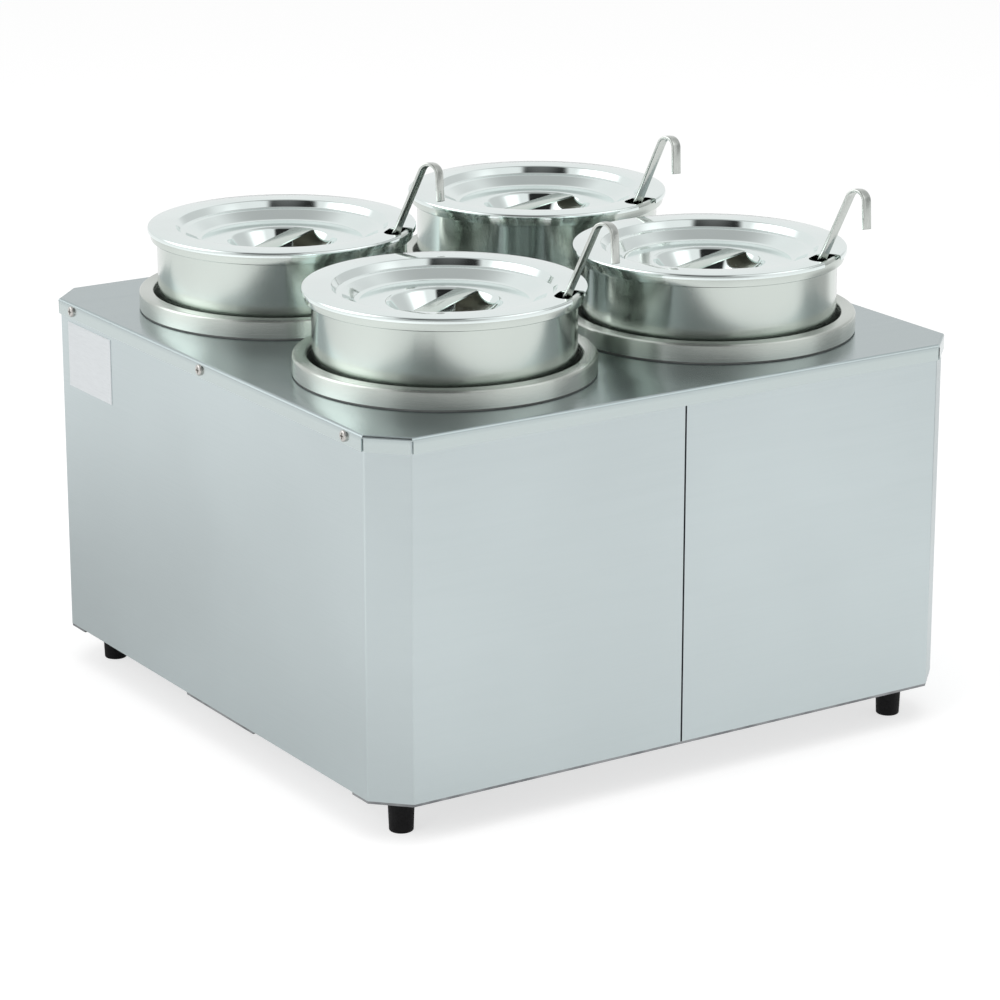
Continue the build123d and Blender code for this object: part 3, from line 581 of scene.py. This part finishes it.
def cut_away(piece, cutter):
    """Cuts one mesh out of another and keeps the result as the piece's own mesh."""
    boolean = piece.modifiers.new("cut", "BOOLEAN")
    boolean.operation = "DIFFERENCE"
    boolean.solver = "EXACT"
    boolean.object = cutter
    graph = bpy.context.evaluated_depsgraph_get()
    result = bpy.data.meshes.new_from_object(piece.evaluated_get(graph))
    piece.modifiers.clear()
    piece.data = result
    result.set_sharp_from_angle(angle=SHARP_BEND)
    bpy.data.objects.remove(cutter)


def strap_bar():
    """A flat bar whose ends slant to the recess's wall, its top face in the XY plane."""
    bm = bmesh.new()
    outline = [(-STRAP_REACH, 0), (STRAP_REACH, 0), (STRAP_REACH - STRAP_SLANT, -STRAP_SHEET),
               (-STRAP_REACH + STRAP_SLANT, -STRAP_SHEET)]
    side = bm.faces.new([bm.verts.new((x * MM, -STRAP_WIDTH / 2 * MM, z * MM)) for x, z in outline])
    grown = bmesh.ops.extrude_face_region(bm, geom=[side])["geom"]
    far = [v for v in grown if isinstance(v, bmesh.types.BMVert)]
    bmesh.ops.translate(bm, vec=(0, STRAP_WIDTH * MM, 0), verts=far)
    bmesh.ops.recalc_face_normals(bm, faces=bm.faces)
    bmesh.ops.bevel(bm, geom=bm.edges[:], offset=STRAP_EDGE_ROUND * MM, offset_type="OFFSET", segments=2,
                    profile=0.5, affect="EDGES", material=-1)
    return bm


def strap_steel(name, tone, low, high):
    """Plain rolled strip, a little duller than the lid; made a second time in dark brown for the underside,
    as painted shade.
    """
    finish = Finish(name, metallic=1.0, roughness=0.2, colour=tone)
    scratches = finish.noise(finish.place((40, 40, 40)), scale=20.0, detail=4.0, roughness=0.6)
    finish.vary(scratches, tone, darker=0.95, lighter=1.04)
    finish.rough(scratches, low, high)
    return finish.material


strap_top = strap_steel("strap_steel", STRAP_TONE, 0.14, 0.24)
strap_painted_shade = strap_steel("strap_bottom_painted_shade", STRAP_UNDERSIDE_SHADE_TONE, 0.3, 0.45)
strap_on_lid = Matrix.Translation((0, 0, MIDDLE_Z * MM)) @ Matrix.Rotation(STRAP_TURN, 4, "Z")
for corner in CORNERS:
    place = LID_PLACES[corner]
    lid = piece_from(lid_shell(), f"pot_lid_{corner}", place)
    wall = lid.modifiers.new("wall", "SOLIDIFY")
    wall.thickness = LID_SHEET * MM
    wall.offset = -1
    cut_away(lid, piece_from(notch_cutter(), "notch", place))
    bright = turned_steel(f"bright_lid_{corner}", place, LID_TONE, roughness=0.09, groove=0.003, rings=2200.0,
                          stretch=0.5)
    stand_for(lid, f"lid_{corner}", f"lid_{corner}", bright)

    strap = piece_from(strap_bar(), f"lid_strap_{corner}", place @ strap_on_lid)
    stand_for(strap, f"lid_handle_{corner}", f"lid_{corner}", strap_top)
    # painted shade: the downward faces of the strap get the dark brown copy of its steel
    strap.data.materials.append(strap_painted_shade)
    for polygon in strap.data.polygons:
        polygon.material_index = 1 if polygon.normal.z < FACES_DOWN else 0

# Ladles. A deep round bowl welded to a narrow strip of stainless that leans on the pot's mouth as the handle.
# The strip is hollowed a little along its length and bent over into a hook at its top.
LADLE_LEAN = math.radians(23.0)
LADLE_TURN = math.radians(-15.0)
HANDLE_W = 7.6
HANDLE_SHEET = 2.0
HANDLE_HOLLOW = 0.3
HANDLE_EDGE_ROUND = 0.5
HANDLE_EDGE_BEND = math.radians(60)
HANDLE_STEPS = 6
HANDLE_GAP = 1.5
HANDLE_ABOVE_MOUTH = 49.6
HANDLE_LAP = 7.0
HOOK_R = 6.0
HOOK_TAIL = 17.8
HOOK_OPENING = math.radians(29.4)
HOOK_STEPS = 16
BOWL_R = 30.0
BOWL_SHEET = 1.0
BOWL_ARC_STEPS = 20
BOWL_STEPS = 72
WELD_SINK = 0.6

mouth = Vector((POT_INNER_R - HANDLE_GAP, 0, POT_TOP - BEAD_ROUND))
lean_on_mouth = (Matrix.Translation(mouth * MM) @ Matrix.Rotation(LADLE_LEAN, 4, "Y")
                 @ Matrix.Rotation(LADLE_TURN, 4, "Z"))
bowl_height = POT_BOTTOM + POT_SHEET + SEAT_GAP + BOWL_R
bowl_out = HANDLE_SHEET + BOWL_R - WELD_SINK
bowl_rise = bowl_out * math.cos(LADLE_TURN) * math.sin(LADLE_LEAN)
below_mouth = (mouth.z + bowl_rise - bowl_height) / math.cos(LADLE_LEAN)


def handle_strip():
    """The strip with its hook: a bent line, widened across from -1 to 1, hollowed and thickened."""
    bm = bmesh.new()
    foot = bm.verts.new((0, 0, (-below_mouth - HANDLE_LAP) * MM))
    top = bm.verts.new((0, 0, HANDLE_ABOVE_MOUTH * MM))
    bm.edges.new((foot, top))
    bend = bmesh.ops.spin(bm, geom=[top], cent=(HOOK_R * MM, 0, HANDLE_ABOVE_MOUTH * MM), axis=(0, 1, 0),
                          angle=math.pi - HOOK_OPENING, steps=HOOK_STEPS)["geom_last"]
    bend_end = [v for v in bend if isinstance(v, bmesh.types.BMVert)]
    tail_end = bmesh.ops.extrude_vert_indiv(bm, verts=bend_end)["verts"]
    tail_way = Vector((math.sin(HOOK_OPENING), 0, -math.cos(HOOK_OPENING)))
    bmesh.ops.translate(bm, vec=tail_way * HOOK_TAIL * MM, verts=tail_end)
    bmesh.ops.translate(bm, vec=(0, -1, 0), verts=bm.verts)
    edge_line = bm.edges[:]
    for _ in range(HANDLE_STEPS):
        grown = bmesh.ops.extrude_edge_only(bm, edges=edge_line)["geom"]
        far = [v for v in grown if isinstance(v, bmesh.types.BMVert)]
        edge_line = [e for e in grown if isinstance(e, bmesh.types.BMEdge) and all(v in far for v in e.verts)]
        bmesh.ops.translate(bm, vec=(0, 2 / HANDLE_STEPS, 0), verts=far)
    bmesh.ops.recalc_face_normals(bm, faces=bm.faces)
    lower = min(bm.faces, key=lambda face: face.calc_center_median().z)
    if lower.normal.x < 0:
        bmesh.ops.reverse_faces(bm, faces=bm.faces)
    bm.normal_update()
    for vert in bm.verts:
        across = vert.co.y
        vert.co -= vert.normal * HANDLE_HOLLOW * MM * (1 - across ** 2)
        vert.co.y = across * HANDLE_W / 2 * MM
    bmesh.ops.solidify(bm, geom=bm.faces[:], thickness=HANDLE_SHEET * MM)
    bmesh.ops.recalc_face_normals(bm, faces=bm.faces)
    long_edges = [edge for edge in bm.edges if edge.calc_face_angle(0) > HANDLE_EDGE_BEND]
    bmesh.ops.bevel(bm, geom=long_edges, offset=HANDLE_EDGE_ROUND * MM, offset_type="OFFSET", segments=3,
                    profile=0.5, affect="EDGES", material=-1)
    return bm


def add_bowl(bm):
    """Adds the half-round bowl, its wall between two arcs, where the strip's lower end is welded to it."""
    bowl = bmesh.new()
    rims = []
    for radius in (BOWL_R, BOWL_R - BOWL_SHEET):
        rim = bowl.verts.new((radius * MM, 0, 0))
        bmesh.ops.spin(bowl, geom=[rim], cent=(0, 0, 0), axis=(0, 1, 0), angle=math.pi / 2,
                       steps=BOWL_ARC_STEPS)
        rims.append(rim)
    bowl.edges.new(rims)
    spin_section(bowl, BOWL_STEPS)
    bowl.transform(Matrix.Translation((-bowl_out * MM, 0, -below_mouth * MM)))
    bowl_mesh = bpy.data.meshes.new("bowl")
    bowl.to_mesh(bowl_mesh)
    bowl.free()
    bm.from_mesh(bowl_mesh)
    bpy.data.meshes.remove(bowl_mesh)


def ladle_steel():
    finish = Finish("ladle_steel", metallic=1.0, roughness=0.14, colour=(0.60, 0.63, 0.60))
    scratches = finish.noise(finish.place((300, 300, 25)), scale=5.0, detail=4.0, roughness=0.6)
    finish.tint(scratches, dark=(0.52, 0.55, 0.52), light=(0.66, 0.69, 0.66))
    finish.rough(scratches, 0.1, 0.22)
    return finish.material


ladle_finish = ladle_steel()
for corner in CORNERS:
    strip = handle_strip()
    add_bowl(strip)
    ladle = piece_from(strip, f"soup_ladle_{corner}", LID_PLACES[corner] @ lean_on_mouth)
    stand_for(ladle, f"ladle_{corner}", f"ladle_{corner}", ladle_finish)

# Studio. A pale floor whose glow, as metal and glass see it, has painted shade near the object, a white
# surround that in reflections is darker beside the camera, with painted dark and bright patches, and two soft
# lamps, with the camera where the photograph was taken from. Sizes and places are in metres.
FLOOR_SIZE = 12.0
FLOOR_TONE = 0.5
FLOOR_GLOW_SEEN = 0.66
FLOOR_MIRRORED = 0.575
# painted shade in the floor's glow, seen only by metal and glass: each: where on the floor, level, and the
# distances where it is full and where it ends
FLOOR_PAINTED_SHADE_SPOTS = (((-0.75, -1.15, 0), 0.45, 0.35, 0.8), ((1.05, -0.33, 0), 0.1, 0.2, 0.55),
               ((0.08, -0.32, 0), 0.48, 0.15, 0.5), ((-0.62, -0.5, 0), 0.46, 0.15, 0.45),
               ((-0.3, -0.15, 0), 0.32, 0.12, 0.32), ((-0.08, 0.42, 0), 0.12, 0.18, 0.66))
SURROUND_SEEN = 1.0
SURROUND_LIGHT = 0.55
SURROUND_MIRRORED = 0.85
# painted reflections, dark and bright patches that only metal and glass see: each: turn and height in
# degrees, level, and the half angles where it is full and where it ends
SURROUND_PAINTED_REFLECTION_PATCHES = ((-125, 12, 0.42, 20, 48), (-138, 57, 0.02, 20, 25), (-143, 84, 0.2, 8, 20),
                    (7, 25, 0.62, 10, 32), (-18, 4, 0.45, 10, 22), (145, 30, 2.6, 8, 34),
                    (-48, 38, 1.35, 8, 22), (57, 72, 0.45, 6, 32))
LAMP_TARGET = (0, 0, 0.2)
CAMERA_PLACE = (-1.3150, -2.0474, 0.8785)
CAMERA_TURN = (72.91, 0.0, -32.95)
CAMERA_LENS = 133.8
CAMERA_SENSOR = 36.0


def between(tree, share, low, high):
    """A level that goes from low to high as share goes from 0 to 1; each may be a number or an output."""
    node = tree.nodes.new("ShaderNodeMapRange")
    for socket, value in (("Value", share), ("To Min", low), ("To Max", high)):
        if isinstance(value, bpy.types.NodeSocket):
            tree.links.new(value, node.inputs[socket])
        else:
            node.inputs[socket].default_value = value
    return node.outputs["Result"]


def by_ray(tree, seen, mirrored, other):
    """One level for what the camera sees, one for what metal and glass show, one for the light itself."""
    path = tree.nodes.new("ShaderNodeLightPath")
    level = between(tree, path.outputs["Is Transmission Ray"], other, mirrored)
    level = between(tree, path.outputs["Is Glossy Ray"], level, mirrored)
    return between(tree, path.outputs["Is Camera Ray"], level, seen)


def soft_fade(tree, operation, where, target, end, full):
    """Measures a place or direction against a target: 0 where the measure is end, 1 where it is full."""
    measure = tree.nodes.new("ShaderNodeVectorMath")
    measure.operation = operation
    measure.inputs[1].default_value = target
    tree.links.new(where, measure.inputs[0])
    fade = tree.nodes.new("ShaderNodeMapRange")
    fade.interpolation_type = "SMOOTHSTEP"
    fade.inputs["From Min"].default_value = end
    fade.inputs["From Max"].default_value = full
    tree.links.new(measure.outputs["Value"], fade.inputs["Value"])
    return fade.outputs["Result"]


def pale_floor():
    material = bpy.data.materials.new("pale_floor")
    material.use_nodes = True
    tree = material.node_tree
    shader = tree.nodes["Principled BSDF"]
    shader.inputs["Roughness"].default_value = 0.9
    shader.inputs["Specular IOR Level"].default_value = 0.0
    shader.inputs["Base Color"].default_value = (FLOOR_TONE, FLOOR_TONE, FLOOR_TONE, 1)
    shader.inputs["Emission Color"].default_value = (1, 1, 1, 1)
    where = tree.nodes.new("ShaderNodeTexCoord").outputs["Object"]
    mirrored = FLOOR_MIRRORED
    # painted shade: darker spots in the floor's glow near the object, seen only in reflections
    for spot, level, full, end in FLOOR_PAINTED_SHADE_SPOTS:
        mirrored = between(tree, soft_fade(tree, "DISTANCE", where, spot, end, full), mirrored, level)
    glow = by_ray(tree, seen=FLOOR_GLOW_SEEN, mirrored=mirrored, other=0.0)
    tree.links.new(glow, shader.inputs["Emission Strength"])
    return material


def white_surround():
    world = bpy.data.worlds.new("studio")
    world.use_nodes = True
    tree = world.node_tree
    background = tree.nodes["Background"]
    background.inputs["Color"].default_value = (1, 1, 1, 1)
    where = tree.nodes.new("ShaderNodeTexCoord").outputs["Generated"]
    mirrored = SURROUND_MIRRORED
    # painted reflections: dark and bright patches in the surround that only glossy and transmission rays see
    for turn, height, level, inner, outer in SURROUND_PAINTED_REFLECTION_PATCHES:
        aim = Matrix.Rotation(math.radians(turn), 3, "Z") @ Matrix.Rotation(math.radians(-height), 3, "Y")
        end, full = [math.cos(math.radians(angle)) for angle in (outer, inner)]
        patch = soft_fade(tree, "DOT_PRODUCT", where, aim @ Vector((1, 0, 0)), end, full)
        mirrored = between(tree, patch, mirrored, level)
    strength = by_ray(tree, seen=SURROUND_SEEN, mirrored=mirrored, other=SURROUND_LIGHT)
    tree.links.new(strength, background.inputs["Strength"])
    return world


def soft_lamp(name, place, size, power):
    lamp = bpy.data.lights.new(name, "AREA")
    lamp.shape = "RECTANGLE"
    lamp.size, lamp.size_y = size
    lamp.energy = power
    holder = bpy.data.objects.new(name, lamp)
    holder.location = place
    holder.rotation_euler = (Vector(LAMP_TARGET) - Vector(place)).to_track_quat("-Z", "Y").to_euler()
    holder.visible_glossy = False
    bpy.context.scene.collection.objects.link(holder)


floor_bm = bmesh.new()
bmesh.ops.create_grid(floor_bm, x_segments=1, y_segments=1, size=FLOOR_SIZE / 2)
floor = piece_from(floor_bm, "floor")
dress(floor, pale_floor())

bpy.context.scene.world = white_surround()
soft_lamp("overhead_softbox", place=(-0.3, -0.4, 2.6), size=(2.4, 2.4), power=26)
soft_lamp("left_softbox", place=(-2.6, -0.6, 1.6), size=(1.6, 1.8), power=22)

camera = bpy.data.cameras.new("camera")
camera.lens = CAMERA_LENS
camera.sensor_width = CAMERA_SENSOR
viewpoint = bpy.data.objects.new("camera", camera)
viewpoint.location = CAMERA_PLACE
viewpoint.rotation_euler = [math.radians(turn) for turn in CAMERA_TURN]
bpy.context.scene.collection.objects.link(viewpoint)
bpy.context.scene.camera = viewpoint
bpy.context.scene.view_settings.view_transform = "Standard"
